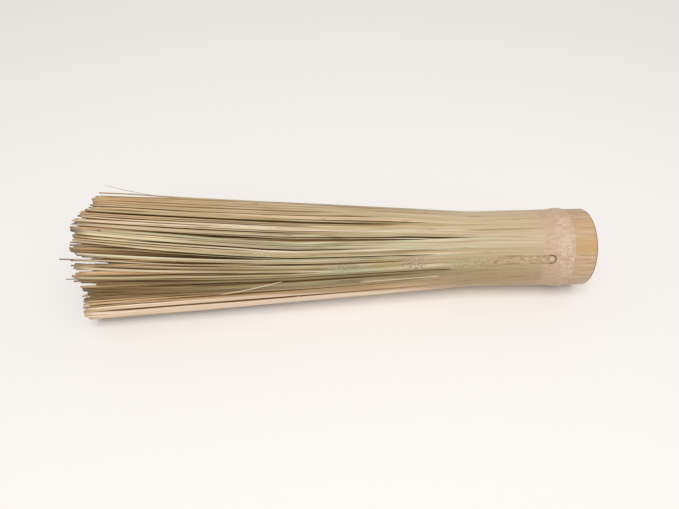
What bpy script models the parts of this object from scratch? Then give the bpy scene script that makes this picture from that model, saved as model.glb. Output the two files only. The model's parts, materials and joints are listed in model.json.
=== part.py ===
"""Bamboo pot whisk: one length of culm whose wall is split into staves, layers and fine splints.

The whisk lies on its side. +X runs along the culm from the splint tips to the sawn butt, +Z is up,
and the origin is on the resting surface, under the middle of the whisk.
"""

import math
import random

import bmesh
import bpy
from mathutils import Vector

MM = 0.001

# Driving dimensions
LENGTH = 285 * MM  # butt face to the longest splint tip
BUTT_RADIUS = 22.1 * MM  # outside of the culm at the sawn end
WAIST_RADIUS = 21.95 * MM  # outside of the culm where the splits begin
RIDGE_RADIUS = 22.9 * MM  # top of the node ridge, which the handle rests on
RIDGE_WIDTH = 7 * MM  # across the ridge, between its steepest slopes and a little beyond
BORE_RADIUS = 17.6 * MM  # the culm's natural hollow
HANDLE_LENGTH = 64 * MM  # the unsplit wall
NODE_DEPTH = 15 * MM  # butt face to the middle of the node ridge
SEPTUM_THICKNESS = 3 * MM  # the woody wall across the hollow at the node
BUNDLE_RADIUS = 37 * MM  # outside of the spread splint tips
STAVES = 16

# Fits and clearances
ROOT_GAP = 0.6 * MM  # handle to stave, for the stave to tilt in
STAVE_GAP = 0.3 * MM  # stave root to the plane midway to its neighbour
INWARD_FLEX = math.radians(2)  # how far a stave leans in before it meets its neighbours

# Worked out from the driving dimensions
BUTT_X = LENGTH / 2
SPLIT_X = BUTT_X - HANDLE_LENGTH
NODE_X = BUTT_X - NODE_DEPTH
SPLINT_LENGTH = LENGTH - HANDLE_LENGTH
AXIS_HEIGHT = RIDGE_RADIUS
PIVOT_RADIUS = (WAIST_RADIUS + BORE_RADIUS) / 2
HALF_SECTOR = math.pi / STAVES

# The wall splits into three layers. All radii are those of a layer's outer face.
# floor_gap is how far the layer stays above the resting surface where the bundle lies flat on it.
LAYERS = {
    "outer": dict(root=WAIST_RADIUS, tip=BUNDLE_RADIUS, thickness=1.2 * MM, tines=4,
                  floor_gap=0.0, colour=(0.60, 0.50, 0.32)),
    "middle": dict(root=20.3 * MM, tip=32 * MM, thickness=1.0 * MM, tines=3,
                   floor_gap=2.4 * MM, colour=(0.68, 0.55, 0.36)),
    "inner": dict(root=18.9 * MM, tip=20 * MM, thickness=0.9 * MM, tines=2,
                  floor_gap=4.8 * MM, colour=(0.74, 0.60, 0.42)),
}
FORK = 0.2  # share of the splint length where a layer forks into tines
SOLID_STATIONS = (0.0, 0.1, FORK)
TINE_STATIONS = (0.36, 0.52, 0.68, 0.84, 1.0)
SLOT_SHARE = 0.16  # slots' share of a layer's width at the fork
TIP_SLOT_SHARE = 0.38  # and at the tips
TIP_THICKNESS_SHARE = 0.7
SHORTEST_TINE = 0.955  # of the splint length
SPREAD_START = 0.04  # share of the length over which the splints curve away from the culm
FLAT_SHARPNESS = 10  # how tightly the bundle turns from its flat underside to its round sides

COLLECTION = bpy.data.collections.new("bamboo_pot_whisk")


def clear_scene():
    for thing in list(bpy.data.objects):
        bpy.data.objects.remove(thing)
    bpy.context.scene.collection.children.link(COLLECTION)


def bamboo(name, colour, roughness):
    material = bpy.data.materials.new(name)
    material.use_nodes = True
    shader = material.node_tree.nodes["Principled BSDF"]
    shader.inputs["Base Color"].default_value = (*colour, 1)
    shader.inputs["Roughness"].default_value = roughness
    shader.inputs["Metallic"].default_value = 0
    return material


def add_object(name, data, parent=None):
    thing = bpy.data.objects.new(name, data)
    thing.parent = parent
    COLLECTION.objects.link(thing)
    return thing


def wall_radius(x):
    """Outside radius of the culm without its ridge: it narrows slightly from the butt to the splits."""
    share = (x - SPLIT_X) / HANDLE_LENGTH
    ease = share * share * (3 - 2 * share)
    return WAIST_RADIUS + (BUTT_RADIUS - WAIST_RADIUS) * ease


def ridge_height(x):
    """How far the node ridge stands out of the culm at x, as a smooth hump."""
    return (RIDGE_RADIUS - wall_radius(NODE_X)) * math.exp(-(((x - NODE_X) * 2 / RIDGE_WIDTH) ** 2))


def handle_profile():
    """Half section of the handle as (radius, x): septum, butt hollow, outside, long hollow."""
    septum_butt_side = NODE_X + SEPTUM_THICKNESS / 2
    septum_tip_side = NODE_X - SEPTUM_THICKNESS / 2
    fillet = 1.5 * MM
    chamfer = 0.4 * MM
    profile = [(0, septum_butt_side), (BORE_RADIUS - fillet, septum_butt_side)]
    profile += [(BORE_RADIUS, septum_butt_side + fillet), (BORE_RADIUS, BUTT_X - chamfer)]
    profile += [(BORE_RADIUS + chamfer, BUTT_X), (BUTT_RADIUS - chamfer, BUTT_X)]
    outside = [BUTT_X - chamfer]
    outside += [NODE_X + RIDGE_WIDTH * step / 4 for step in (4, 3, 2, 1, 0, -1, -2, -3, -4)]
    outside += [SPLIT_X + HANDLE_LENGTH / 3, SPLIT_X]
    profile += [(wall_radius(x) + ridge_height(x), x) for x in outside]
    profile += [(BORE_RADIUS, SPLIT_X), (BORE_RADIUS, septum_tip_side - fillet)]
    profile += [(BORE_RADIUS - fillet, septum_tip_side), (0, septum_tip_side)]
    return profile


def make_handle():
    """The unsplit end of the culm, turned about its own axis, with the node's septum across it."""
    mesh = bpy.data.meshes.new("culm_handle")
    points = [(radius, 0, x) for radius, x in handle_profile()]
    edges = [(i, i + 1) for i in range(len(points) - 1)]
    mesh.from_pydata(points, edges, [])
    handle = add_object("culm_handle", mesh)
    handle.location = (0, 0, AXIS_HEIGHT)
    handle.rotation_euler = (0, math.radians(90), 0)  # the profile's Z becomes the culm's X
    mesh.materials.append(bamboo("culm_bark", (0.62, 0.51, 0.34), 0.45))
    screw = handle.modifiers.new("turn", "SCREW")
    screw.axis = "Z"
    screw.steps = screw.render_steps = 48
    screw.use_merge_vertices = True
    screw.merge_threshold = 0.01 * MM
    screw.use_smooth_shade = True


def soft_minimum(a, b):
    """The smaller of two lengths, with the corner between them rounded."""
    return (a**-FLAT_SHARPNESS + b**-FLAT_SHARPNESS) ** (-1 / FLAT_SHARPNESS)


def spread(share):
    """From 0 at the root to 1 at the tip: a short curve away from the culm, then nearly straight."""
    return share * share / (share + SPREAD_START) * (1 + SPREAD_START)


def layer_radius(layer, share, angle):
    """Outer face of a layer at a share of its length, at an angle round the culm from straight up."""
    tip = layer["tip"]
    downward = -math.cos(angle)
    flat = AXIS_HEIGHT - layer["floor_gap"]
    if downward * tip > flat / 4:  # elsewhere the underside is too far to matter
        tip = soft_minimum(tip, flat / downward)
    return layer["root"] + (tip - layer["root"]) * spread(share)


def widest_angle(radius, share):
    """Half the angle a stave may fill: its sector less the room it needs to lean inward."""
    lean = share * SPLINT_LENGTH * math.sin(INWARD_FLEX) * math.sin(HALF_SECTOR)
    return HALF_SECTOR - math.asin((STAVE_GAP + lean) / radius)


def column_edges(tines, share):
    """Where the tines and slots between them start and end across a layer, from -1 to 1."""
    grown = max(0.0, (share - FORK) / (1 - FORK))
    slots = SLOT_SHARE + (TIP_SLOT_SHARE - SLOT_SHARE) * grown
    slot = 2 * slots / (tines - 1)
    tine = 2 * (1 - slots) / tines
    edges = [-1.0]
    for column in range(2 * tines - 1):
        edges.append(edges[-1] + (slot if column % 2 else tine))
    return edges


def make_comb(name, layer, stave_angle, parent, material, chance):
    """One layer of one stave: solid at its root, then forked into tines of unequal length."""
    tines = layer["tines"]
    columns = 2 * tines - 1
    stations = SOLID_STATIONS + TINE_STATIONS
    lengths = [chance.uniform(SHORTEST_TINE, 1) for _ in range(tines)]
    lengths[tines // 2] = 1
    form = bmesh.new()
    bmesh.ops.create_grid(form, x_segments=len(stations) - 1, y_segments=columns, size=0.5)
    thickness = form.verts.layers.deform.verify()
    slots = []
    for face in form.faces:
        centre = face.calc_center_median()
        column = int((centre.y + 0.5) * columns)
        station = int((centre.x + 0.5) * (len(stations) - 1))
        if column % 2 and station >= len(SOLID_STATIONS) - 1:
            slots.append(face)
    bmesh.ops.delete(form, geom=slots, context="FACES")
    for vertex in form.verts:
        station = round((vertex.co.x + 0.5) * (len(stations) - 1))
        edge = round((vertex.co.y + 0.5) * columns)
        share = stations[station]
        if share > FORK:
            share *= 1 + (lengths[edge // 2] - 1) * (share - FORK) / (1 - FORK)
        middle = layer_radius(layer, share, stave_angle)
        offset = column_edges(tines, share)[edge] * widest_angle(middle, share)
        radius = layer_radius(layer, share, stave_angle + offset)
        along = -ROOT_GAP - share * (SPLINT_LENGTH - ROOT_GAP)
        vertex.co = Vector((along, radius * math.sin(offset), radius * math.cos(offset) - PIVOT_RADIUS))
        vertex[thickness][0] = 1 - share
    for face in form.faces:
        face.normal_update()
        if face.normal.z < 0:
            face.normal_flip()
    mesh = bpy.data.meshes.new(name)
    form.to_mesh(mesh)
    form.free()
    mesh.materials.append(material)
    comb = add_object(name, mesh, parent)
    comb.vertex_groups.new(name="thickness")
    shell = comb.modifiers.new("thickness", "SOLIDIFY")
    shell.thickness = layer["thickness"]
    shell.offset = -1
    shell.vertex_group = "thickness"
    shell.thickness_vertex_group = TIP_THICKNESS_SHARE
    return comb


def make_staves():
    """Each stave hangs on an empty at its root, whose Y is the axis that the stave flexes about."""
    materials = {
        kind: bamboo(f"{kind}_splints", layer["colour"], 0.55) for kind, layer in LAYERS.items()
    }
    chance = random.Random(16)
    for number in range(STAVES):
        angle = 2 * math.pi * (number + 0.5) / STAVES
        root = add_object(f"stave_{number + 1:02d}_root", None)
        root.location = (
            SPLIT_X,
            PIVOT_RADIUS * math.sin(angle),
            AXIS_HEIGHT + PIVOT_RADIUS * math.cos(angle),
        )
        root.rotation_euler = (-angle, 0, 0)
        for kind, layer in LAYERS.items():
            name = f"stave_{number + 1:02d}_{kind}_splints"
            make_comb(name, layer, angle, root, materials[kind], chance)


clear_scene()
make_handle()
make_staves()
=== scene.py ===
"""Looks of the bamboo pot whisk: the whole culm end, its bark, and some 470 hand-split splints.

Everything is in metres in the CAD frame: +X runs from the splint tips to the sawn butt, +Z is up.
Angles go round the culm from straight up, towards +Y.
"""

import json
import math
import random
from dataclasses import dataclass

import bpy
from mathutils import Matrix, Vector, noise

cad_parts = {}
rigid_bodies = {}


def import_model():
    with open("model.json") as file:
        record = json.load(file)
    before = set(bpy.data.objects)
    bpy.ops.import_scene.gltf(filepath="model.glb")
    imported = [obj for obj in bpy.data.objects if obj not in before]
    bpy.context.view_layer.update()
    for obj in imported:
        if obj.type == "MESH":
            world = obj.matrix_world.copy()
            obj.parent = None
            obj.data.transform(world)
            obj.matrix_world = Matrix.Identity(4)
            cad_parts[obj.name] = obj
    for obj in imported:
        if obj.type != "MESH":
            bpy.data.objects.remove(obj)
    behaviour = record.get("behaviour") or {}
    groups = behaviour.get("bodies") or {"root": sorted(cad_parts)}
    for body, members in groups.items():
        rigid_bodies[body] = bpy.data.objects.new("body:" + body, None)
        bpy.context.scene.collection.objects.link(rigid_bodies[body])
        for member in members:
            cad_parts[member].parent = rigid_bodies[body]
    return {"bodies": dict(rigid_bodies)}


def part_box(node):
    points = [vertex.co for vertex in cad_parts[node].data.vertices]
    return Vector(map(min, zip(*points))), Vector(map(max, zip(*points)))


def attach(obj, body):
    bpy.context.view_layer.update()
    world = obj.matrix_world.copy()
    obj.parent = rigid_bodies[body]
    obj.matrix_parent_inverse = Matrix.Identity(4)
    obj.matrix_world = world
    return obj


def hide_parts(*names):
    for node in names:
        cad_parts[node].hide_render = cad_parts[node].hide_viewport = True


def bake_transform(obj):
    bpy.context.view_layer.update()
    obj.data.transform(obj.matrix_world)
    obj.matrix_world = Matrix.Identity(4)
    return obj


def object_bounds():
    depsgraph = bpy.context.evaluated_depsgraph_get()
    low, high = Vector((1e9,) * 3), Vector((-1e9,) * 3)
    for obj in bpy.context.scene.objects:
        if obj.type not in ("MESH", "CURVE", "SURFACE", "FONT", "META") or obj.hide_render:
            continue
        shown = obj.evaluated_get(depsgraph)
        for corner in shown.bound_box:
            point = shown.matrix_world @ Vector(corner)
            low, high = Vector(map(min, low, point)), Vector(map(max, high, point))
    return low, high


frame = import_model()
CAD_LOW, CAD_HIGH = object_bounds()

MM = 0.001

# Sizes read from the frame
HANDLE_LOW, HANDLE_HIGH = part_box("culm_handle")
BUTT_X = HANDLE_HIGH.x
SPLIT_X = HANDLE_LOW.x
TIP_X = CAD_LOW.x
RIDGE_RADIUS = (HANDLE_HIGH.z - HANDLE_LOW.z) / 2
AXIS_Z = (HANDLE_HIGH.z + HANDLE_LOW.z) / 2
STAVES = sum(body.startswith("stave_") for body in frame["bodies"])
SECTOR = 2 * math.pi / STAVES
FREE_LENGTH = SPLIT_X - TIP_X

# The culm's own sizes, as on the solids
BUTT_RADIUS = 22.1 * MM
WAIST_RADIUS = 21.95 * MM
BORE_RADIUS = 17.6 * MM
BUNDLE_RADIUS = 37 * MM
NODE_X = BUTT_X - 15 * MM
RIDGE_WIDTH = 7 * MM
SEPTUM_THICKNESS = 3 * MM
SPREAD_START = 0.04
FLAT_SHARPNESS = 10

# Where the bark's splints part from the handle piece, just on the tip side of the node scar
ROOT_X = BUTT_X - 30 * MM
ROOT_GAP = 0.02 * MM
CORE_RADIUS = 20.72 * MM  # the handle's wood under the bark's splints
BARK_LIMIT = 1.2 * MM  # the bark's splints are no thicker than this on the grip

# The bud groove: a shallow channel along the culm that ends at the node in a rounded scar
GROOVE_ARC = math.radians(-56) * WAIST_RADIUS
GROOVE_HALF_WIDTH = 2.2 * MM
GROOVE_DEPTH = 0.45 * MM
GROOVE_END_X = BUTT_X - 22.8 * MM
GROOVE_CENTRE_X = GROOVE_END_X - GROOVE_HALF_WIDTH  # of its round end
GROOVE_FADE_X = BUTT_X - 66 * MM

SCAR_EDGE_X = BUTT_X - 12.6 * MM  # where the node scar ends, towards the butt
SEPTUM_FILLET = 1.6 * MM
SEPTUM_DOME = 0.7 * MM  # how far the septum bulges into the cup

# The splints fan a little to one side between the top and the front, and leave a gap below
DRIFT_ANGLE = math.radians(-52)
DRIFT_MOST = math.radians(20)
DRIFT_ABOVE = math.radians(45)
DRIFT_BELOW = math.radians(16)

chance = random.Random(7)


def smooth(low, high, value):
    """0 below low, 1 above high, and an even curve between; high may be the lower number."""
    share = min(1.0, max(0.0, (value - low) / (high - low)))
    return share * share * (3 - 2 * share)


def hump(distance, width):
    """1 where the distance is 0, falling off in a bell curve on both sides."""
    return math.exp(-((distance / width) ** 2))


def directions(angle):
    """Unit vectors at an angle round the culm: along its surface, and outwards."""
    tangent = Vector((0, math.cos(angle), -math.sin(angle)))
    outward = Vector((0, math.sin(angle), math.cos(angle)))
    return tangent, outward


def at(x, angle, radius):
    """The point at x, at an angle round the culm and a distance from its axis."""
    return Vector((x, radius * math.sin(angle), AXIS_Z + radius * math.cos(angle)))


# ---- shape of the culm


def culm_radius(x):
    """Outside of the culm from the butt to the splits: a slight waist, and the node ridge."""
    wall = WAIST_RADIUS + (BUTT_RADIUS - WAIST_RADIUS) * smooth(SPLIT_X, BUTT_X, x)
    return wall + (RIDGE_RADIUS - BUTT_RADIUS) * hump(x - NODE_X, RIDGE_WIDTH / 2)


def groove_distance(x, arc):
    """How far a place on the bark is from the middle line of the bud groove."""
    return math.hypot(max(0.0, x - GROOVE_CENTRE_X), arc - GROOVE_ARC)


def groove_share(x, arc):
    """1 along the middle of the bud groove, 0 at its edge and beyond."""
    share = smooth(1.0, 0.45, groove_distance(x, arc) / GROOVE_HALF_WIDTH)
    return share * smooth(GROOVE_FADE_X, GROOVE_FADE_X + 20 * MM, x)


def bud_rim(x, arc):
    """The raised lip round the closed end of the groove, where the bud grew."""
    lip = hump(groove_distance(x, arc) - GROOVE_HALF_WIDTH * 1.02, 0.45 * MM)
    return lip * smooth(GROOVE_CENTRE_X - 5 * MM, GROOVE_CENTRE_X, x)


def bark_relief(x, arc):
    """How far the bark stands out of the even culm, in metres, at x and at an arc length round it."""
    relief = -GROOVE_DEPTH * groove_share(x, arc) + 0.28 * MM * bud_rim(x, arc)
    angle = arc / WAIST_RADIUS
    waves = noise.noise(Vector((x * 25, math.sin(angle) * 2.2, math.cos(angle) * 2.2)))
    return relief + 0.22 * MM * waves * smooth(SPLIT_X - 20 * MM, SPLIT_X + 8 * MM, x)


def soft_minimum(a, b):
    """The smaller of two lengths, with the corner between them rounded."""
    return (a**-FLAT_SHARPNESS + b**-FLAT_SHARPNESS) ** (-1 / FLAT_SHARPNESS)


def spread(share):
    """From 0 at the root to 1 at the tip: a short curve away from the culm, then nearly straight."""
    return share * share / (share + SPREAD_START) * (1 + SPREAD_START)


@dataclass
class Layer:
    """A row of splints right round the wall. Radii are those of its outer face."""

    kind: str  # the layer of the CAD model that it is part of
    root: float  # radius at the grip
    tip: float  # radius at the tips
    floor_gap: float  # how far it stays above the floor where the bundle lies flat on it
    thickness: float
    counts: tuple  # the numbers of splints that a stave may have
    fill: float  # how much of the width at the grip is wood
    lift: tuple  # how far the tips stray inwards and outwards, in millimetres
    bow: float  # how far the row stands out halfway
    kept: float  # how much of the trim it is spared
    widen: float  # width of a splint at its tip, over that at the grip
    drift: float  # how much of the fan's drift to one side it takes part in

    def radius(self, x, angle):
        if x >= SPLIT_X:
            return self.root + culm_radius(x) - WAIST_RADIUS
        share = (SPLIT_X - x) / FREE_LENGTH
        tip = self.tip
        downward = -math.cos(angle)
        flat = AXIS_Z - self.floor_gap
        if downward * tip > flat / 4:
            tip = soft_minimum(tip, flat / downward)
        bow = self.bow * math.sin(math.pi * min(1.0, share) ** 0.7)
        return self.root + (tip - self.root) * spread(share) + bow


OUTER = Layer(
    kind="outer", root=WAIST_RADIUS, tip=BUNDLE_RADIUS, floor_gap=0.0, thickness=1.1 * MM,
    counts=(6, 7, 7, 8), fill=1.0, lift=(-1.2, 0.5), bow=0.5 * MM, kept=0.0, widen=1.0, drift=1.0,
)
UPPER_MIDDLE = Layer(
    kind="middle", root=20.5 * MM, tip=33.5 * MM, floor_gap=2.4 * MM, thickness=0.8 * MM,
    counts=(7, 8, 9), fill=0.93, lift=(-3.0, 0.5), bow=0.3 * MM, kept=0.6, widen=1.2, drift=0.5,
)
LOWER_MIDDLE = Layer(
    kind="middle", root=19.65 * MM, tip=29.5 * MM, floor_gap=4.0 * MM, thickness=0.7 * MM,
    counts=(7, 8, 9), fill=0.95, lift=(-2.5, 2.0), bow=0.2 * MM, kept=0.85, widen=1.55, drift=0.6,
)
INNER = Layer(
    kind="inner", root=18.9 * MM, tip=20 * MM, floor_gap=4.8 * MM, thickness=0.85 * MM,
    counts=(5, 6, 7), fill=0.9, lift=(-13.0, 6.0), bow=0.0, kept=0.6, widen=1.9, drift=0.6,
)
LAYERS = (OUTER, UPPER_MIDDLE, LOWER_MIDDLE, INNER)


# ---- layout of the splints

# The longest cuts: degrees round the culm, millimetres from the butt to where they start, and width
LONG_CUTS = (
    (38, 78, 0.9), (27, 130, 0.9), (14, 138, 1.2), (-8, 152, 0.7), (-24, 92, 1.1),
    (-35, 118, 0.6), (-46, 168, 1.4), (-52, 102, 0.7), (-62, 150, 1.5), (-71, 88, 1.6),
    (-84, 84, 1.2), (-96.5, 84, 2.6), (-109, 100, 1.2),
)
# The finer cuts of a stave, in order: where they start, in millimetres from the splits
FINER_STARTS = ((-60, 5), (-95, -20), (-135, -45), (-170, -80))
FINER = {11: -2, 12: -1, 13: 1, 14: 2, 15: 2, 16: 1}  # staves cut into fewer or more splints


def drifted(angle, x, amount):
    """The direction that a line of splints has moved to at x."""
    offset = (angle - DRIFT_ANGLE + math.pi) % (2 * math.pi) - math.pi
    width = DRIFT_ABOVE if offset > 0 else DRIFT_BELOW
    share = (SPLIT_X - x) / FREE_LENGTH
    grown = max(0.0, (share - 0.45) / 0.55) ** 1.2
    return angle + amount * DRIFT_MOST * hump(offset, width) * grown


@dataclass
class Cut:
    """The cut between two splints: closed up to start, then opening towards the tips."""

    start: float
    weight: float  # its width, compared with that of the other cuts

    def open(self, x):
        return max(0.0, (self.start - x) / (self.start - TIP_X))

    def hairline(self, x):
        return 0.16 * MM * smooth(0, 45 * MM, self.start - x)


def finer_cut(order, more):
    """The first cuts of a stave start at the grip, and each finer one starts nearer to the tips."""
    low, high = FINER_STARTS[min(order, len(FINER_STARTS) - 1)]
    start = chance.uniform(low, high) + 12 * max(0, more)
    return Cut(SPLIT_X + min(start, 8) * MM, 0.1 + chance.random() ** 2.5)


def cuts_of(layer, number, borders):
    """(angle, cut) for one stave: its borders, the long cuts that are in it, and finer ones."""
    low = (number - 1) * SECTOR
    cuts = {low: borders[number - 1], low + SECTOR: borders[number % STAVES]}
    if layer.kind == "outer":
        for degrees, from_butt, weight in LONG_CUTS:
            angle = math.radians(degrees) % (2 * math.pi)
            if low < angle < low + SECTOR:
                cuts[angle] = Cut(BUTT_X - from_butt * MM, weight)
    order = len(cuts) - 2
    wanted = max(chance.choice(layer.counts) + FINER.get(number, 0), len(cuts))
    while len(cuts) <= wanted:
        angles = sorted(cuts)
        left, right = max(zip(angles, angles[1:]), key=lambda pair: pair[1] - pair[0])
        cut = finer_cut(order, FINER.get(number, 0))
        if layer.kind != "outer":
            cut.start = SPLIT_X + 20 * MM
        cuts[left + (right - left) * chance.uniform(0.36, 0.64)] = cut
        order += 1
    return sorted(cuts.items())


class Row:
    """The splints of one layer of one stave, side by side, with the cuts at and between them."""

    def __init__(self, layer, number, cuts):
        self.layer = layer
        self.cuts = [cut for _, cut in cuts]
        angles = [angle for angle, _ in cuts]
        self.widths = [(b - a) * layer.root * layer.fill for a, b in zip(angles, angles[1:])]
        self.low = (number - 1) * SECTOR
        self.taken = set()  # places in the gaps that splints of the row below have risen into

    def gaps(self, x):
        """Width of each cut at x. The end ones are the halves that lie in this stave."""
        low = drifted(self.low, x, self.layer.drift)
        high = drifted(self.low + SECTOR, x, self.layer.drift)
        radius = self.layer.radius(x, (low + high) / 2)
        room = max(0.0, (high - low) * radius - sum(self.widths))
        shares = [cut.weight * cut.open(x) for cut in self.cuts]
        shares[0] /= 2
        shares[-1] /= 2
        if sum(shares) < 1e-6:
            shares = [1.0] * len(shares)
        total = sum(shares)
        return [room * share / total for share in shares], low, radius

    def place(self, index, x):
        """Angle, radius, width and the smaller gap beside it, for one splint at x."""
        gaps, low, radius = self.gaps(x)
        left = sum(gaps[: index + 1]) + sum(self.widths[:index])
        middle = left + self.widths[index] / 2
        cut = (self.cuts[index].hairline(x) + self.cuts[index + 1].hairline(x)) / 2
        beside = min(gaps[index], gaps[index + 1])
        angle = low + middle / radius
        return angle, self.layer.radius(x, angle), self.widths[index] - cut, beside


def make_rows(layer):
    """Rows for all staves. Neighbouring staves share the cut between them."""
    borders = []
    for _ in range(STAVES):
        start = SPLIT_X + chance.uniform(-32, 12) * MM
        borders.append(Cut(start, 0.1 + 0.7 * chance.random() ** 1.5))
    return [Row(layer, number, cuts_of(layer, number, borders)) for number in range(1, STAVES + 1)]


# ---- splint meshes


def apart(angle, degrees):
    """Degrees between a direction round the culm and one given in degrees."""
    return math.degrees(abs((angle - math.radians(degrees) + math.pi) % (2 * math.pi) - math.pi))


def trim(angle, kept):
    """How much shorter a splint is cut than the longest ones: most on top, less where some is kept."""
    front = smooth(80, 40, apart(angle, -30)) * (1 - kept)
    top = smooth(30, 18, apart(angle, 30))
    return (5.2 * front + 3.2 * top) * MM


def hollow(angle):
    """The splints are pressed in along one line low on the front, and a little behind the top."""
    return -6 * MM * hump(apart(angle, -73), 9) - 2 * MM * hump(apart(angle, 50), 14)


def lean(angle):
    """Splints low on the front have rolled outwards, with their bark turned up."""
    return math.radians(-44) * hump(apart(angle, -104), 20)


# Splints left long at the trim: degrees round the brush, millimetres, and whether it is thin and dark.
# Each is taken off the list by the first splint that lies there.
long_ends_left = [(-4, 2.6, False), (-9, 2.2, False), (-39, 6.5, True), (-57, 4.5, True)]
# Splints that have sprung out of the row: degrees round the brush and millimetres
SPRUNG = ((51, 1.1), (-122, 1.4), (150, 1.6), (98, 1.5))


class Splint:
    """How one splint strays from its even place."""

    def __init__(self, row, index, above=None):
        layer = row.layer
        self.row = row
        self.index = index
        self.tone = chance.random()
        self.lift = chance.uniform(*layer.lift) * MM  # how far out of its row the tip is
        self.turn = 0.0  # and how far round the culm
        self.late = 1.6  # how late along its length it leaves its place
        self.sunk = float(layer.kind != "outer")  # 1 if others shade it
        self.twist = math.radians(chance.gauss(0, 8))
        self.wave = chance.uniform(0.5, 1.4)
        self.phase = chance.uniform(0, 2 * math.pi)
        self.free_x = min(row.cuts[index].start, row.cuts[index + 1].start, SPLIT_X)
        self.thickness = layer.thickness * chance.uniform(0.85, 1.15)
        self.taper = chance.uniform(0.6, 0.85)
        self.widen = layer.widen
        self.end_length = chance.uniform(3, 8) * MM  # of the stretch that soot may darken
        self.slant = chance.gauss(0, 0.35) * MM
        angle = row.place(index, TIP_X)[0]
        self.lift += hollow(angle)
        self.twist += lean(angle)
        sooty = apart(angle, -48) < 30
        self.dark_end = chance.random() ** (0.6 if sooty else 1.8)
        ragged = layer.kind == "outer" and apart(angle, -108) < 26
        self.tip_x = TIP_X + abs(chance.gauss(0, 3.4 if ragged else 1.4)) * MM
        if chance.random() < 0.05:
            self.tip_x += chance.uniform(5, 18) * MM
        if above is not None:
            self.settle(above)
        self.tip_x += trim(angle, self.sunk * layer.kept)
        if layer.kind == "outer":
            self.spring_out(angle)
        self.leave_long(angle, above is not None)

    def spring_out(self, angle):
        for degrees, height in SPRUNG:
            if apart(angle, degrees) < 1.6:
                self.lift = height * MM
                self.thickness *= 0.75

    def leave_long(self, angle, thin):
        """Makes the splint one of the long ends, if the next of them lies here."""
        for long_end in long_ends_left:
            degrees, extra, is_thin = long_end
            if apart(angle, degrees) < 1.7 and is_thin == thin:
                long_ends_left.remove(long_end)
                self.tip_x = TIP_X + trim(angle, 0) - extra * MM
                self.widen = 0.7 if thin else 1.0
                self.end_length = (16 if thin else 3) * MM
                self.dark_end = 1.0 if thin else 0.0
                self.tone = 0.97 if thin else 0.7
                break

    def settle(self, above):
        """Lets a middle splint rise against the outer layer, and into a gap of it that has room."""
        angle, radius, width, _ = self.row.place(self.index, TIP_X)
        roof = above.layer.radius(TIP_X, angle) - radius + hollow(angle)
        self.lift = roof - (0.9 + 2.8 * chance.random() ** 1.5) * MM
        self.sunk = 1.0
        gaps, low, outer_radius = above.gaps(TIP_X)
        for i in range(1, len(gaps) - 1):
            before = sum(gaps[:i]) + sum(above.widths[:i])
            places = round(gaps[i] / (0.95 * width))
            for place in range(places):
                centre = low + (before + gaps[i] * (place + 0.5) / places) / outer_radius
                if abs(centre - angle) * radius < 2 * MM and (i, place) not in above.taken:
                    above.taken.add((i, place))
                    self.turn = centre - angle
                    self.lift = roof - chance.uniform(0.1, 1.0) * MM
                    self.sunk = 0.0
                    self.late = 2.2
                    return

    def free(self, x):
        """0 where the splint is held by its neighbours, rising to 1 at its tip."""
        length = self.free_x - self.tip_x
        return max(0.0, (self.free_x - x) / length) ** self.late

    def section(self, x):
        """Corners of the cross-section at x, from the inner left one over the bark to the inner right."""
        layer = self.row.layer
        angle, radius, width, beside = self.row.place(self.index, x)
        free = self.free(x)
        sway = 0.35 * min(beside, 1.5 * MM) * math.sin(self.phase + self.wave * 5 * free)
        angle += (sway + self.slant * free) / radius + self.turn * free
        radius += self.lift * free + 0.25 * MM * free * math.sin(self.phase * 2 + self.wave * 6 * free)
        width *= 1 + (self.widen - 1) * free**0.5
        downward = -math.cos(angle)
        lowest = AXIS_Z - 0.3 * MM - layer.floor_gap / 2
        if downward * radius > lowest and x < SPLIT_X:
            radius = lowest / downward
        thickness = self.thickness * (1 - (1 - self.taper) * smooth(SPLIT_X, TIP_X, x))
        if layer.kind == "outer" and x > SPLIT_X - 5 * MM:
            thickness = min(thickness, BARK_LIMIT)
        left = self.bevel(self.index, x)
        right = self.bevel(self.index + 1, x)
        half = width / 2
        low, high = left - half, half - right
        across = [-half, -half, low, low / 3, high / 3, high, half, half]
        depth = [thickness, left, 0, 0, 0, 0, right, thickness]
        turn = self.twist * free
        tangent, outward = directions(angle)
        side = tangent * math.cos(turn) + outward * math.sin(turn)
        up = outward * math.cos(turn) - tangent * math.sin(turn)
        centre = at(x, angle, radius)
        arc = self.arc()
        points = []
        for u, v in zip(across, depth):
            crown = -u * u / (2 * WAIST_RADIUS)
            relief = 0.0
            if layer.kind == "outer" and x > SPLIT_X - 20 * MM and v < thickness:
                relief = bark_relief(x, arc + u)
            point = centre + side * u + up * (crown + relief - v)
            point.z = max(point.z, 0.03 * MM)
            points.append((point, (x, arc + u, v)))
        return points

    def bevel(self, side, x):
        """Width of the bevel along one edge: none where the bark is still whole."""
        return (0.008 + 0.13 * smooth(0, 1, self.row.cuts[side].hairline(x) / (0.14 * MM))) * MM

    def arc(self):
        """Arc length round the whole culm at the splint's root, from straight up."""
        before = sum(self.row.widths[: self.index]) + self.row.widths[self.index] / 2
        angle = self.row.low + before / (self.row.layer.root * self.row.layer.fill)
        return ((angle + math.pi) % (2 * math.pi) - math.pi) * WAIST_RADIUS


def stations(root_x, tip_x):
    """Where a splint's cross-sections are: close together on the grip, further apart beyond it."""
    xs = []
    x = root_x
    while x > tip_x + 2.5 * MM:
        xs.append(x)
        x -= 1.6 * MM if x > SPLIT_X else 4.5 * MM
    return [*xs, tip_x + 0.25 * MM, tip_x]


def add_object(name, data):
    thing = bpy.data.objects.new(name, data)
    bpy.context.scene.collection.objects.link(thing)
    return thing


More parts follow.
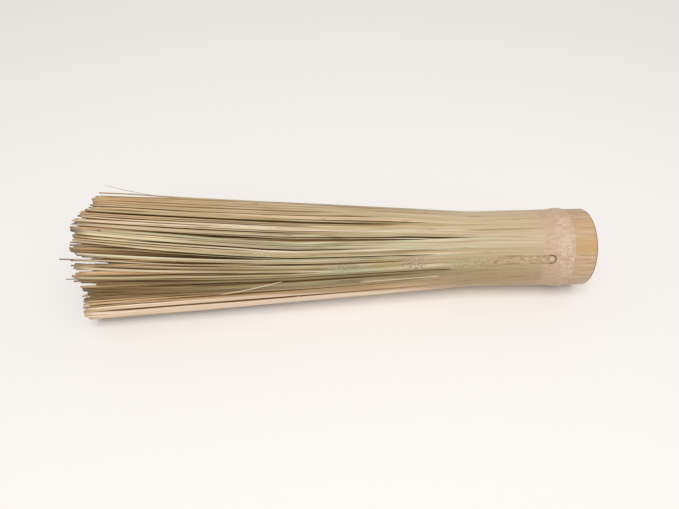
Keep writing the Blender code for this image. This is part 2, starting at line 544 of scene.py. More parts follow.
class MeshMaker:
    """Gathers vertices, faces, materials and the attributes that the bamboo materials read."""

    def __init__(self):
        self.points = []
        self.rest = []
        self.shades = []  # tone, end and sunk of each point
        self.faces = []
        self.slots = []

    def add_point(self, point, rest, tone=0.5, end=0.0, sunk=0.0):
        self.points.append(point)
        self.rest.append(rest)
        self.shades.append((tone, end, sunk))
        return len(self.points) - 1

    def add_face(self, corners, slot):
        self.faces.append(corners)
        self.slots.append(slot)

    def add_tube(self, rings, side_slots, near_slot, far_slot):
        """Faces between rings of points, and over both ends."""
        for near, far in zip(rings, rings[1:]):
            for i, slot in enumerate(side_slots):
                j = (i + 1) % len(near)
                self.add_face((near[i], near[j], far[j], far[i]), slot)
        self.add_face(tuple(reversed(rings[0])), near_slot)
        self.add_face(tuple(rings[-1]), far_slot)

    def build(self, name, materials, sharp_angle):
        mesh = bpy.data.meshes.new(name)
        mesh.from_pydata(self.points, [], self.faces)
        for material in materials:
            mesh.materials.append(material)
        mesh.polygons.foreach_set("material_index", self.slots)
        rest = mesh.attributes.new("rest", "FLOAT_VECTOR", "POINT")
        rest.data.foreach_set("vector", [value for point in self.rest for value in point])
        for label, values in zip(("tone", "end", "sunk"), zip(*self.shades)):
            mesh.attributes.new(label, "FLOAT", "POINT").data.foreach_set("value", values)
        mesh.validate()
        mesh.update()
        mesh.shade_smooth()
        mesh.set_sharp_from_angle(angle=sharp_angle)
        return add_object(name, mesh)


BARK, SPLIT, CUT = 0, 1, 2  # material slots of a splint mesh


def add_splint(maker, splint, root_x):
    rings = []
    for x in stations(root_x, splint.tip_x):
        pinch = 0.9 if x == splint.tip_x else 1.0
        section = splint.section(x)
        middle = sum((point for point, _ in section), Vector()) / len(section)
        end = splint.dark_end * smooth(splint.end_length, 0, x - splint.tip_x)
        rings.append([
            maker.add_point(middle.lerp(point, pinch), rest, splint.tone, end, splint.sunk)
            for point, rest in section
        ])
    face = BARK if splint.row.layer.kind == "outer" else SPLIT
    maker.add_tube(rings, (SPLIT, face, face, face, face, face, SPLIT, SPLIT), SPLIT, CUT)


def add_sliver(maker, path, width, thickness, depth):
    """A thin peeled fibre along a path of (x, degrees round the culm, height over the splints)."""
    rings = []
    for i in range(len(path) * 4 - 3):
        step, part = divmod(i, 4)
        here, there = path[step], path[min(step + 1, len(path) - 1)]
        x, degrees, height = [a + (b - a) * part / 4 for a, b in zip(here, there)]
        angle = math.radians(degrees)
        centre = at(x * MM, angle, OUTER.radius(x * MM, angle) + height * MM)
        thin = 0.35 if i in (0, len(path) * 4 - 4) else 1.0
        tangent, outward = directions(angle)
        tangent *= width / 2 * thin
        outward *= thickness / 2 * thin
        corners = (centre - tangent - outward, centre - tangent + outward)
        corners += (centre + tangent + outward, centre + tangent - outward)
        rest = (x * MM, angle * WAIST_RADIUS, depth)
        rings.append([maker.add_point(corner, rest) for corner in corners])
    maker.add_tube(rings, (SPLIT, SPLIT, SPLIT, SPLIT), SPLIT, SPLIT)


# Peeled fibres: the stave, the path of (x, degrees, height) in millimetres, then width, thickness, and
# how deep in the wall the fibre comes from: below zero is the pale skin
SLIVERS = (
    (3, ((-104, 51, 0.2), (-114, 53, 1.4), (-126, 56, 3.4), (-138, 58, 6.0)), 0.3, 0.22, 0.5),
    (13, ((-30, -70, 0.4), (-40, -73, 1.2), (-52, -77, 1.5), (-64, -81, 0.8)), 0.4, 0.2, -1.0),
    (13, ((56, -77.5, 0.02), (49, -77.5, 0.12), (30, -77.8, 0.1), (12, -78, 0.02)), 0.4, 0.14, -1.0),
    (12, ((-21.5, -93, 0.9), (-23.5, -95, 1.0), (-27.5, -98, 0.5)), 0.4, 0.2, -1.0),
)


def make_stave_layer(number, kind, rows, outer_row, materials):
    """One piece: the splints of one layer of one stave, and the fibres that have peeled from them."""
    stave = f"stave_{number:02d}"
    maker = MeshMaker()
    root_x = (ROOT_X if kind == "outer" else SPLIT_X) - ROOT_GAP
    for row in rows:
        above = outer_row if row.layer is UPPER_MIDDLE else None
        for index in range(len(row.widths)):
            add_splint(maker, Splint(row, index, above), root_x)
    for sliver_stave, path, width, thickness, depth in SLIVERS:
        if kind == "outer" and sliver_stave == number:
            add_sliver(maker, path, width * MM, thickness * MM, depth * MM)
    piece = maker.build(f"{stave}_{kind}_fine", materials, math.radians(25))
    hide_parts(f"{stave}_{kind}_splints")
    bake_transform(piece)


def make_splints(materials):
    rows_of_layers = [make_rows(layer) for layer in LAYERS]
    for number, (outer, middle, lower_middle, inner) in enumerate(zip(*rows_of_layers), 1):
        make_stave_layer(number, "outer", [outer], outer, materials)
        make_stave_layer(number, "middle", [middle, lower_middle], outer, materials)
        make_stave_layer(number, "inner", [inner], outer, materials)


# ---- the handle


def steps(low, high, step):
    """Even steps from low to high, both included."""
    count = max(1, round(abs(high - low) / step))
    return [low + (high - low) * i / count for i in range(count + 1)]


HANDLE_BARK, HANDLE_CUT, HANDLE_PITH, HANDLE_SPLIT = range(4)


def septum_fillet(face_x, outward, turns):
    """Points of the rounding from a face of the septum, at turn 0, to the bore, at turn 1."""
    points = []
    for turn in turns:
        bend = turn * math.pi / 2
        x = face_x + outward * SEPTUM_FILLET * (1 - math.cos(bend))
        points.append((x, BORE_RADIUS - SEPTUM_FILLET * (1 - math.sin(bend)), HANDLE_PITH))
    return points


def handle_outline():
    """(x, radius, material of the band that starts there), from the septum round the butt and back."""
    butt_side = NODE_X + SEPTUM_THICKNESS / 2
    tip_side = NODE_X - SEPTUM_THICKNESS / 2
    septum_edge = BORE_RADIUS - SEPTUM_FILLET
    chamfer = 0.35 * MM
    bore_edge, butt_edge = BORE_RADIUS + chamfer, BUTT_RADIUS - chamfer
    line = [(butt_side, r, HANDLE_PITH) for r in steps(0.8 * MM, septum_edge, 0.8 * MM)]
    line += septum_fillet(butt_side, 1, (0.25, 0.5, 0.75, 1.0))
    cup = steps(butt_side + SEPTUM_FILLET, BUTT_X - chamfer, 0.8 * MM)
    line += [(x, BORE_RADIUS, HANDLE_PITH) for x in cup[1:-1]]
    line += [(cup[-1], BORE_RADIUS, HANDLE_CUT)]
    line += [(BUTT_X, r, HANDLE_CUT) for r in steps(bore_edge, butt_edge, 0.5 * MM)]
    outside = steps(BUTT_X - chamfer, ROOT_X, 0.4 * MM)
    line += [(x, culm_radius(x), HANDLE_BARK) for x in outside[:-1]]
    line += [(outside[-1], culm_radius(outside[-1]), HANDLE_SPLIT)]
    line += [(x, CORE_RADIUS, HANDLE_SPLIT) for x in steps(ROOT_X, SPLIT_X, 4 * MM)]
    bore = steps(SPLIT_X, tip_side - SEPTUM_FILLET, 2 * MM)
    line += [(x, BORE_RADIUS, HANDLE_PITH) for x in bore]
    line += septum_fillet(tip_side, -1, (0.67, 0.33, 0.0))
    line += [(tip_side, r, HANDLE_PITH) for r in steps(septum_edge, 1.5 * MM, 3 * MM)[1:]]
    return line


def inside_relief(x, radius, angle, height):
    """Small unevenness of the septum, the cup and the sawn face."""
    place = Vector((x * 300, radius * math.sin(angle) * 300, radius * math.cos(angle) * 300))
    return noise.fractal(place, 0.8, 2.0, 3) * height


def scar_relief(x, arc):
    """The node scar: a band of flaking sheath fibres with a raised edge towards the butt."""
    angle = arc / WAIST_RADIUS
    edge = SCAR_EDGE_X + 0.5 * MM * noise.noise(Vector((math.sin(angle) * 3, math.cos(angle) * 3, 4)))
    band = smooth(edge + 0.4 * MM, edge - 0.6 * MM, x) * smooth(edge - 12 * MM, edge - 7 * MM, x)
    flakes = noise.noise(Vector((x * 350, arc * 1300, 0)))
    return band * 0.07 * MM * max(-0.4, flakes) + 0.12 * MM * hump(x - edge + 0.8 * MM, 0.7 * MM)


def handle_point(x, radius, kind, angle):
    """A point of the handle, with the relief of its bark, its cup or its sawn face."""
    arc = angle * WAIST_RADIUS
    if radius > CORE_RADIUS + 0.2 * MM and x < BUTT_X - 0.1 * MM:
        return at(x, angle, radius + bark_relief(x, arc) + scar_relief(x, arc))
    point = at(x, angle, radius)
    if kind == HANDLE_PITH and x > NODE_X:
        point.x += inside_relief(x, radius, angle, 0.1 * MM)
        if radius < BORE_RADIUS - 1.7 * MM:
            point.x += SEPTUM_DOME * smooth(BORE_RADIUS, 0, radius)
    elif kind == HANDLE_CUT and x == BUTT_X:
        point.x += inside_relief(x, radius, angle, 0.03 * MM)
    return point


def make_handle(materials):
    around = 240
    maker = MeshMaker()
    outline = handle_outline()
    rings = []
    for x, radius, kind in outline:
        ring = []
        for i in range(around):
            angle = 2 * math.pi * i / around - math.pi
            rest = (x, angle * WAIST_RADIUS, WAIST_RADIUS - radius)
            ring.append(maker.add_point(handle_point(x, radius, kind, angle), rest))
        rings.append(ring)
    for near, far, (_, _, kind) in zip(rings, rings[1:], outline):
        for i in range(around):
            j = (i + 1) % around
            maker.add_face((near[i], far[i], far[j], near[j]), kind)
    first_x = outline[0][0] + SEPTUM_DOME
    for ring, x in ((rings[0], first_x), (rings[-1][::-1], outline[-1][0])):
        centre = maker.add_point(Vector((x, 0, AXIS_Z)), (x, 0, WAIST_RADIUS))
        for i in range(around):
            maker.add_face((ring[i], ring[(i + 1) % around], centre), HANDLE_PITH)
    piece = maker.build("culm_handle_fine", materials, math.radians(40))
    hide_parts("culm_handle")
    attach(piece, "handle")


# ---- materials


def srgb(red, green, blue):
    """A colour given in 0 to 255, as the shaders want it."""
    values = (red / 255, green / 255, blue / 255)
    linear = [v / 12.92 if v <= 0.04045 else ((v + 0.055) / 1.055) ** 2.4 for v in values]
    return (*linear, 1)


def arc_at(degrees):
    """Arc length round the culm to a direction, from straight up."""
    return math.radians(degrees) * WAIST_RADIUS


class Graph:
    """The shader nodes of a material. Colours are given in 0 to 255.

    rest is a point's place in the wall before it was split: x, the arc round the culm, and the depth.
    """

    def __init__(self, name):
        self.material = bpy.data.materials.new(name)
        self.material.use_nodes = True
        self.tree = self.material.node_tree
        self.shader = self.tree.nodes["Principled BSDF"]
        self.rest = self.attribute("rest", "Vector")
        self.x, self.arc, self.depth = self.node("ShaderNodeSeparateXYZ", [self.rest]).outputs

    def fill(self, node, inputs):
        """Sets inputs of a node, given as a dictionary or in order, to numbers, colours or links."""
        for key, value in inputs.items() if isinstance(inputs, dict) else enumerate(inputs):
            if isinstance(value, bpy.types.NodeSocket):
                self.tree.links.new(value, node.inputs[key])
            elif value is not None:
                node.inputs[key].default_value = value

    def node(self, kind, inputs=(), **settings):
        made = self.tree.nodes.new(kind)
        for key, value in settings.items():
            setattr(made, key, value)
        self.fill(made, inputs)
        return made

    def attribute(self, name, output="Fac"):
        return self.node("ShaderNodeAttribute", attribute_name=name).outputs[output]

    def stretch(self, vector, scale, offset=(0, 0, 0)):
        inputs = (vector, scale, offset)
        return self.node("ShaderNodeVectorMath", inputs, operation="MULTIPLY_ADD").outputs[0]

    def noise(self, scale, detail=2.0, roughness=0.5, distortion=0.0, place=None):
        """Noise with a scale for each axis, over the rest place unless another is given."""
        vector = self.stretch(self.rest if place is None else place, scale)
        inputs = {"Vector": vector, "Scale": 1.0, "Detail": detail}
        inputs |= {"Roughness": roughness, "Distortion": distortion}
        return self.node("ShaderNodeTexNoise", inputs).outputs["Fac"]

    def cells(self, vector, scale):
        inputs = {"Vector": self.stretch(vector, scale), "Scale": 1.0}
        return self.node("ShaderNodeTexVoronoi", inputs).outputs["Distance"]

    def math(self, operation, *values):
        return self.node("ShaderNodeMath", values, operation=operation).outputs[0]

    def product(self, first, *others):
        for other in others:
            first = self.math("MULTIPLY", first, other)
        return first

    def away(self, value, middle):
        """How far a value is from the middle one, on either side."""
        return self.math("ABSOLUTE", self.math("SUBTRACT", value, middle))

    def span(self, value, low, high, to_low=0.0, to_high=1.0):
        """to_low below low, to_high above high, an even curve between; high may be the lower number."""
        inputs = (value, low, high, to_low, to_high)
        return self.node("ShaderNodeMapRange", inputs, interpolation_type="SMOOTHSTEP").outputs[0]

    def mix(self, share, a, b, blend="MIX"):
        inputs = {"Factor": share, 6: a, 7: b}  # 6, 7 and output 2 are the colours
        return self.node("ShaderNodeMix", inputs, data_type="RGBA", blend_type=blend).outputs[2]

    def tint(self, base, *coats, blend="MIX"):
        """Blends coats in, one after another. A coat is a colour and shares, which are multiplied."""
        for colour, *shares in coats:
            base = self.mix(self.product(*shares), base, srgb(*colour), blend)
        return base

    def ramp(self, share, *stops):
        """A colour ramp through stops of (position, red, green, blue)."""
        made = self.node("ShaderNodeValToRGB", [share])
        made.color_ramp.interpolation = "EASE"
        elements = made.color_ramp.elements
        while len(elements) < len(stops):
            elements.new(0.5)
        for element, (position, *colour) in zip(elements, stops):
            element.position = position
            element.color = srgb(*colour)
        return made.outputs["Color"]

    def lines(self, along, across, width, shift=(0, 0, 0)):
        """Thin lines along the fibres: 1 on a line, 0 beside it, and broken up along the culm."""
        place = self.stretch(self.rest, (1, 1, 1), shift)
        field = self.noise((along, across, 0), 1, place=place)
        here = self.span(self.noise((along * 3, across / 3, 0), 1, place=place), 0.45, 0.58)
        return self.product(self.span(self.away(field, 0.5), width, 0), here)

    def patch(self, x, arc, half_length, half_width):
        """1 at a place on the bark, falling to 0 at the edge of an ellipse round it."""
        scale = (1 / half_length, 1 / half_width, 0)
        offset = (-x / half_length, -arc / half_width, 0)
        inputs = [self.stretch(self.rest, scale, offset)]
        length = self.node("ShaderNodeVectorMath", inputs, operation="LENGTH")
        return self.span(length.outputs["Value"], 1.0, 0.4)

    def bump(self, height, distance, strength, normal=None):
        inputs = {"Height": height, "Distance": distance, "Strength": strength, "Normal": normal}
        return self.node("ShaderNodeBump", inputs).outputs["Normal"]

    def finish(self, colour, roughness, specular, normal=None):
        inputs = {"Base Color": colour, "Roughness": roughness, "Specular IOR Level": specular}
        self.fill(self.shader, inputs | {"Normal": normal, "Metallic": 0.0})
        return self.material


def around_ramp(graph):
    """The bark's colour round the culm: straw on top, golden behind, green-grey in front, pink below. Low
    on the front it is darker, partly the bark's green-grey and partly painted shade.
    """
    return graph.ramp(
        graph.math("MULTIPLY_ADD", graph.arc, 1 / (2 * math.pi * WAIST_RADIUS), 0.5),
        # The darker stops at 0.26 and 0.32, low on the front, are partly the bark's own green-grey and
        # partly painted shade.
        (0.00, 208, 182, 150), (0.14, 226, 202, 172), (0.21, 214, 189, 159), (0.26, 182, 157, 124),
        (0.32, 172, 150, 116), (0.375, 178, 160, 128), (0.43, 194, 177, 148), (0.49, 202, 180, 147),
        (0.545, 200, 179, 148), (0.60, 206, 184, 156), (0.66, 204, 180, 150), (0.78, 200, 178, 146),
        (0.90, 208, 182, 150),
    )


def streaks(graph, base, middle, fine):
    """Streaks of green, gold and brown that follow the fibres, from broad to fine."""
    x, arc = graph.x, graph.arc
    green_side = graph.product(
        graph.span(arc, arc_at(-100), arc_at(-62)), graph.span(arc, arc_at(75), arc_at(-15), 0.25, 1.0)
    )
    calm = graph.span(x, SPLIT_X - 15 * MM, SPLIT_X + 22 * MM, 1.0, 0.4)  # the grip is more even
    leaf = graph.span(graph.away(arc, arc_at(-36)), 9 * MM, 4 * MM, 0, 0.6)
    base = graph.tint(
        base,
        ((168, 166, 134), graph.span(graph.noise((8, 280, 0)), 0.45, 0.62, 0, 0.62), green_side, calm),
        ((186, 180, 150), leaf, graph.span(x, SPLIT_X - 10 * MM, SPLIT_X - 60 * MM)),
        ((204, 172, 126), graph.span(graph.noise((6, 240, 9)), 0.54, 0.68, 0, 0.32)),
        ((162, 136, 100), graph.span(middle, 0.5, 0.68, 0, 0.42)),
        ((230, 212, 188), graph.span(middle, 0.48, 0.32, 0, 0.36), calm),
    )

    # Green bark breaks up into bands and fine lines beyond the grip
    beyond = graph.product(green_side, graph.span(x, SPLIT_X + 10 * MM, SPLIT_X - 45 * MM))
    bands = graph.noise((7, 520, 6), 1)
    base = graph.tint(
        base,
        ((134, 120, 88), graph.span(bands, 0.55, 0.68, 0, 0.55), beyond),
        ((230, 219, 198), graph.span(bands, 0.48, 0.34, 0, 0.65), beyond),
        ((112, 96, 64), graph.lines(5, 900, 0.07, (0.7, 0.5, 0)), beyond, 0.85),
        ((240, 230, 210), graph.lines(5, 900, 0.06, (0.1, 0.9, 0)), beyond, 0.75),
    )

    long_share = graph.span(x, BUTT_X - 22 * MM, BUTT_X - 42 * MM, 0, 0.6)
    short_share = graph.span(x, BUTT_X - 22 * MM, BUTT_X - 60 * MM, 0.1, 0.6)
    return graph.tint(
        base,
        ((142, 114, 80), graph.span(fine, 0.52, 0.7, 0, 0.62), graph.span(calm, 0, 1, 0.5, 1)),
        ((230, 212, 188), graph.span(fine, 0.46, 0.3, 0, 0.3)),
        ((194, 168, 133), graph.span(calm, 1.0, 0.4, 0, 0.3)),
        ((122, 94, 60), graph.lines(5, 230, 0.02), long_share),
        ((134, 110, 76), graph.lines(16, 520, 0.03, (0.4, 0.2, 0)), short_share),
    )


def splint_zones(graph, base):
    """Beyond the grip: painted shade, olive and then brown, where the splints are pressed in; then paler,
    golden on top.
    """
    x, arc = graph.x, graph.arc
    # Painted shade along the pressed-in line low on the front, olive-grey beyond the grip and browner
    # towards the tips.
    pressed_in = graph.span(graph.away(arc, arc_at(-75)), 5 * MM, 2 * MM)
    pressed_in_shade = graph.product(pressed_in, graph.span(x, SPLIT_X, SPLIT_X - 45 * MM))
    brown = graph.product(pressed_in_shade, graph.span(x, TIP_X + 140 * MM, TIP_X + 30 * MM))
    base = graph.tint(base, ((214, 216, 204), pressed_in_shade), ((212, 184, 156), brown), blend="MULTIPLY")
    front = graph.span(graph.away(arc, arc_at(-46)), 8 * MM, 5 * MM)
    above = (graph.span(arc, arc_at(-34), arc_at(-24)), graph.span(arc, arc_at(4), arc_at(-6)))
    top = graph.span(arc, arc_at(-4), arc_at(8))
    return graph.tint(
        base,
        ((222, 210, 178), front, graph.span(x, TIP_X + 90 * MM, TIP_X + 40 * MM, 0, 0.6)),
        ((228, 204, 174), *above, graph.span(x, TIP_X + 100 * MM, TIP_X + 40 * MM, 0, 0.4)),
        ((202, 166, 112), top, graph.span(x, TIP_X + 110 * MM, TIP_X + 30 * MM, 0, 0.4)),
    )


def splint_tones(graph, base):
    """Each splint's own tone, which fades out where the splints join, and pale pink on the lowest ones:
    partly their colour and partly painted light against the shade they lie in.
    """
    x, arc = graph.x, graph.arc
    tone = graph.attribute("tone")
    tones = graph.ramp(
        tone,
        (0.0, 224, 228, 206), (0.2, 242, 241, 228), (0.4, 254, 246, 232), (0.62, 255, 252, 250),
        (0.82, 252, 238, 220), (0.93, 226, 210, 188), (1.0, 196, 178, 154),
    )
    parted = graph.span(x, SPLIT_X + 22 * MM, SPLIT_X - 60 * MM, 0.12, 1.0)
    base = graph.mix(parted, base, tones, "MULTIPLY")
    # The lowest splints are lightened to pale pink: partly their colour, partly painted light.
    low = graph.math("ADD", arc, graph.span(x, SPLIT_X, TIP_X + 70 * MM, 4.6 * MM, -3.2 * MM))
    low = graph.span(low, arc_at(-91), arc_at(-98))
    under = graph.span(arc, arc_at(-170), arc_at(-140))
    pink = graph.span(x, SPLIT_X - 5 * MM, SPLIT_X - 60 * MM, 0, 0.9)
    return graph.tint(base, ((254, 231, 208), low, under, pink, graph.span(tone, 1.0, 0.3, 0.45, 1.0)))


def weathering_and_shade(graph, base):
    """Patches on the bark: a broad darker one low on the front of the grip, which is painted shade with
    some mottling, and weathered ones, mottled brown, yellow and pale speckled, along one line.
    """
    spots = graph.noise((640, 1050, 0), 3, 0.7)
    dark = graph.span(spots, 0.5, 0.62)
    light = graph.span(spots, 0.48, 0.36)
    # from the butt, degrees, half length, half width, ground and its share, dark spots, pale spots
    patches = (
        # The first patch, low on the front of the grip, is painted shade with some mottling.
        (48, -94, 60, 13.0, (160, 136, 100), 0.62, (136, 108, 76), 0.25, (196, 170, 136), 0.1),
        (72, -60, 17, 5.0, (170, 162, 122), 0.45, (112, 90, 58), 0.5, (198, 188, 152), 0.3),
        (101, -57, 9.5, 5.2, (180, 156, 132), 0.45, (120, 92, 72), 0.85, (202, 184, 158), 0.45),
        (117, -57, 14, 4.6, (166, 154, 98), 0.45, (146, 130, 76), 0.4, (188, 178, 126), 0.4),
        (137, -58, 17, 5.0, (166, 160, 132), 0.45, (134, 124, 96), 0.5, (202, 196, 172), 0.45),
        (182, -42, 9, 3.0, (178, 170, 124), 0.4, (150, 134, 94), 0.4, (204, 196, 160), 0.6),
    )
    for from_butt, degrees, length, width, ground, share, brown, more, pale, most in patches:
        here = graph.patch(BUTT_X - from_butt * MM, arc_at(degrees), length * MM, width * MM)
        coats = ((ground, here, share), (brown, here, more, dark), (pale, here, most, light))
        base = graph.tint(base, *coats)
    return base


def node_scar_colours(graph, base):
    """Pink-beige scar band with pale flakes, and the browner stub between it and the butt, with painted
    shade along the sawn edge.
    """
    wander = graph.math("SUBTRACT", graph.noise((30, 160, 0)), 0.5)
    near_edge = graph.math("MULTIPLY_ADD", wander, 0.8 * MM, graph.x)
    far_edge = graph.math("MULTIPLY_ADD", wander, 5 * MM, graph.x)
    edge = SCAR_EDGE_X
    inside = graph.span(near_edge, edge + 0.3 * MM, edge - 0.3 * MM)
    band = graph.product(inside, graph.span(far_edge, edge - 18.5 * MM, edge - 14 * MM, 0, 0.8))
    blotches = graph.noise((220, 620, 0), 4, 0.65)
    pink = graph.ramp(blotches, (0.36, 201, 172, 148), (0.5, 194, 164, 138), (0.64, 183, 150, 123))
    near = graph.product(inside, graph.span(near_edge, edge - 12 * MM, edge - 7 * MM))
    pits = graph.noise((420, 1300, 0), 4, 0.75)
    crackle = graph.span(graph.away(graph.noise((330, 800, 3)), 0.5), 0.035, 0.01)
    dense = graph.span(graph.noise((90, 160, 0)), 0.42, 0.64, 0.14, 0.62)
    base = graph.tint(
        graph.mix(band, base, pink),
        ((150, 110, 86), band, graph.span(pits, 0.54, 0.68, 0, 0.35)),
        ((235, 216, 201), near, crackle, dense),
        ((216, 190, 166), graph.span(graph.away(near_edge, edge), 0.5 * MM, 0.15 * MM, 0, 0.4)),
    )

    stub = graph.span(near_edge, edge - 0.1 * MM, edge + 0.5 * MM)
    grain = graph.noise((45, 1500, 0), 4, 0.65, 0.4)
    golden = graph.span(graph.away(graph.arc, arc_at(-38)), 6 * MM, 2.5 * MM, 0, 0.8)
    tan = graph.ramp(
        grain, (0.36, 210, 182, 156), (0.48, 196, 166, 136), (0.57, 176, 143, 110), (0.66, 140, 108, 79)
    )
    tan = graph.tint(
        tan,
        ((188, 151, 97), golden, graph.span(grain, 0.7, 0.5)),
        ((192, 158, 116), graph.span(graph.noise((10, 90, 0)), 0.5, 0.66, 0, 0.5)),
    )
    base = graph.mix(graph.product(stub, 0.96), base, tan)
    # Painted shade along the sawn edge of the butt.
    sawn_edge_shade = graph.span(graph.x, BUTT_X - 1.0 * MM, BUTT_X - 0.35 * MM, 0, 0.85)
    return graph.tint(base, ((104, 88, 70), sawn_edge_shade))


def groove_colours(graph, base):
    """The bud groove: mottled inside, with a painted shadow line along its edge that closes in a hook at
    the node, and a painted highlight inside the hook.
    """
    beyond = graph.math("MAXIMUM", graph.math("SUBTRACT", graph.x, GROOVE_CENTRE_X), 0.0)
    across = graph.math("SUBTRACT", graph.arc, GROOVE_ARC)
    square = graph.math("ADD", graph.product(beyond, beyond), graph.product(across, across))
    away = graph.math("DIVIDE", graph.math("SQRT", square), GROOVE_HALF_WIDTH)
    long = graph.span(graph.x, GROOVE_FADE_X, GROOVE_FADE_X + 12 * MM)
    inside = graph.product(graph.span(away, 1.05, 0.8), long)
    spots = graph.noise((420, 900, 5), 3, 0.7)
    outline = graph.product(graph.span(away, 0.78, 1.0), graph.span(away, 1.25, 1.05))
    broken = graph.span(graph.noise((110, 40, 0)), 0.42, 0.58, 0.1, 0.75)
    hook = graph.span(graph.x, GROOVE_END_X - 5 * MM, GROOVE_END_X - 2.5 * MM)
    return graph.tint(
        base,
        ((180, 152, 118), inside, 0.5),
        ((126, 96, 66), inside, graph.span(spots, 0.52, 0.64, 0, 0.85)),
        ((206, 184, 152), inside, graph.span(spots, 0.46, 0.38, 0, 0.6)),
        # Painted shadow along the groove's edge, darkest in the hook.
        ((126, 96, 66), outline, long, broken),
        ((88, 62, 42), outline, hook),
        # A painted highlight inside the hook.
        ((222, 196, 164), graph.patch(GROOVE_END_X - 2.0 * MM, GROOVE_ARC, 1.2 * MM, 0.7 * MM)),
    )


def bark_material():
    graph = Graph("bamboo_bark")
    middle = graph.noise((11, 720, 0), 3)
    fine = graph.noise((18, 1700, 0), 4, 0.65)
    base = streaks(graph, around_ramp(graph), middle, fine)
    for add_colours in (splint_zones, splint_tones, weathering_and_shade, node_scar_colours, groove_colours):
        base = add_colours(graph, base)
    base = graph.tint(base, ((74, 66, 58), graph.attribute("end"), 0.85))  # sooty, worn ends
    roughness = graph.span(graph.noise((60, 900, 0)), 0.3, 0.7, 0.42, 0.62)
    normal = graph.bump(fine, 0.08 * MM, 0.8)
    normal = graph.bump(middle, 0.14 * MM, 0.7, normal)
    return graph.finish(base, roughness, 0.4, normal)


def split_material():
    """Split wood: pale, matt and fibrous, darker where the fibre bundles run, with painted shade deeper
    in the wall and on splints that lie under others.
    """
    graph = Graph("bamboo_split")
    fibres = graph.noise((14, 2200, 2600), 4, 0.65)
    base = graph.ramp(fibres, (0.3, 234, 216, 190), (0.5, 218, 196, 164), (0.72, 180, 152, 118))
    tones = graph.ramp(
        graph.attribute("tone"),
        (0.0, 226, 214, 190), (0.5, 250, 236, 212), (0.8, 226, 208, 182), (1.0, 196, 180, 156),
    )
    base = graph.mix(1.0, base, tones, "MULTIPLY")
    # Painted shade: darker deeper in the wall, on the sides that face into the gaps between splints.
    painted_gap_shade = graph.span(graph.depth, 0.12 * MM, 0.6 * MM)
    base = graph.tint(base, ((186, 166, 138), painted_gap_shade), blend="MULTIPLY")
    base = graph.tint(base, ((228, 210, 182), graph.span(graph.depth, -0.2 * MM, -0.8 * MM, 0, 0.8)))
    # Painted shade on splints that lie under others, less of it near the tips.
    shade = graph.span(graph.x, TIP_X + 10 * MM, TIP_X + 70 * MM, 0.3, 1.0)
    base = graph.tint(base, ((176, 156, 126), graph.attribute("sunk"), shade), blend="MULTIPLY")
    base = graph.tint(base, ((70, 62, 54), graph.attribute("end"), 0.8))
    return graph.finish(base, 0.75, 0.25, graph.bump(fibres, 0.1 * MM, 0.9))


def cut_material():
    """Sawn end grain: dark dots of fibre bundles, closer together towards the bark."""
    graph = Graph("bamboo_end_grain")
    position = graph.node("ShaderNodeNewGeometry").outputs["Position"]
    dots = graph.cells(position, (700, 1500, 1500))
    saw = graph.noise((400, 2600, 180), 3, 0.6, place=position)
    base = graph.tint(
        graph.mix(graph.span(graph.depth, 0, 4.4 * MM), srgb(176, 140, 98), srgb(226, 204, 164)),
        ((128, 92, 60), graph.span(dots, 0.42, 0.2)),
        ((150, 118, 84), graph.span(saw, 0.5, 0.75, 0, 0.4)),
        ((62, 56, 50), graph.attribute("end"), 0.85),
    )
    return graph.finish(base, 0.8, 0.2, graph.bump(saw, 0.08 * MM, 0.8))


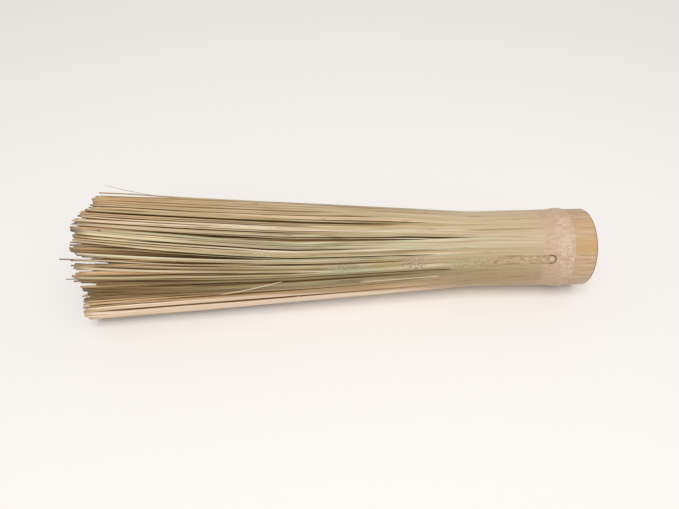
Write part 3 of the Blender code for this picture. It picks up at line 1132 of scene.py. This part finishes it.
def pith_material():
    """Inside of the culm: a papery cream skin with faint lengthwise lines and age spots."""
    graph = Graph("bamboo_pith")
    position = graph.node("ShaderNodeNewGeometry").outputs["Position"]
    fibres = graph.noise((20, 900, 0), 3)
    wall = graph.mix(graph.span(fibres, 0.4, 0.65), srgb(224, 206, 172), srgb(200, 172, 132))
    grain = graph.noise((300, 500, 500), 5, 0.7, place=position)
    skin = graph.ramp(grain, (0.34, 206, 178, 136), (0.5, 186, 154, 112), (0.66, 146, 112, 76))
    middle = graph.span(graph.depth, WAIST_RADIUS - 9 * MM, WAIST_RADIUS - 3 * MM, 0, 0.45)
    skin = graph.tint(skin, ((150, 118, 82), middle))
    on_septum = graph.span(graph.depth, WAIST_RADIUS - BORE_RADIUS + 0.2 * MM, 6.4 * MM)
    spots = graph.noise((230, 230, 230), 4, 0.65, place=position)
    spots = graph.span(spots, 0.56, 0.72, 0, 0.6)
    base = graph.tint(graph.mix(on_septum, wall, skin), ((140, 106, 72), spots))
    return graph.finish(base, 0.85, 0.2, graph.bump(grain, 0.25 * MM, 0.8))


# ---- stage


def make_stage():
    mesh = bpy.data.meshes.new("floor")
    size = 9.0
    corners = [(-size, -size, 0), (size, -size, 0), (size, size, 0), (-size, size, 0)]
    mesh.from_pydata(corners, [], [(0, 1, 2, 3)])
    mesh.materials.append(Graph("pale_floor").finish(srgb(236, 233, 230), 0.9, 0.1))
    add_object("floor", mesh)


def make_lights():
    """One soft lamp above and a little in front, and an even sky."""
    world = bpy.data.worlds.new("studio")
    bpy.context.scene.world = world
    world.use_nodes = True
    background = world.node_tree.nodes["Background"]
    background.inputs["Color"].default_value = (1.0, 0.985, 0.965, 1)
    background.inputs["Strength"].default_value = 0.56
    data = bpy.data.lights.new("key", "AREA")
    data.shape = "SQUARE"
    data.size = 0.7
    data.energy = 11
    lamp = add_object("key", data)
    lamp.location = (0, -0.45, 1.2)
    lamp.rotation_euler = (-lamp.location).to_track_quat("-Z", "Y").to_euler()


def make_camera():
    """A phone's wide lens, close above the whisk and turned a little, with the whisk's axis level."""
    data = bpy.data.cameras.new("camera")
    data.sensor_width = 36
    data.lens = 27.2
    data.clip_start = 0.01
    distance = 0.302
    elevation = math.radians(52)
    roll = math.radians(-1.2)
    back = Vector((0, -math.cos(elevation), math.sin(elevation)))
    up = Vector((0, math.sin(elevation), math.cos(elevation)))
    aim = Vector((1.2 * MM, 0, AXIS_Z)) - up * 1.8 * MM
    camera = add_object("camera", data)
    turn = (-back).to_track_quat("-Z", "Y").to_matrix().to_4x4()
    camera.matrix_world = Matrix.Translation(aim + back * distance) @ turn @ Matrix.Rotation(roll, 4, "Z")
    bpy.context.scene.camera = camera


bpy.context.scene.view_settings.view_transform = "Standard"
make_camera()
make_stage()
make_lights()
bark, split, cut, pith = bark_material(), split_material(), cut_material(), pith_material()
make_handle((bark, cut, pith, split))
make_splints((bark, split, cut))
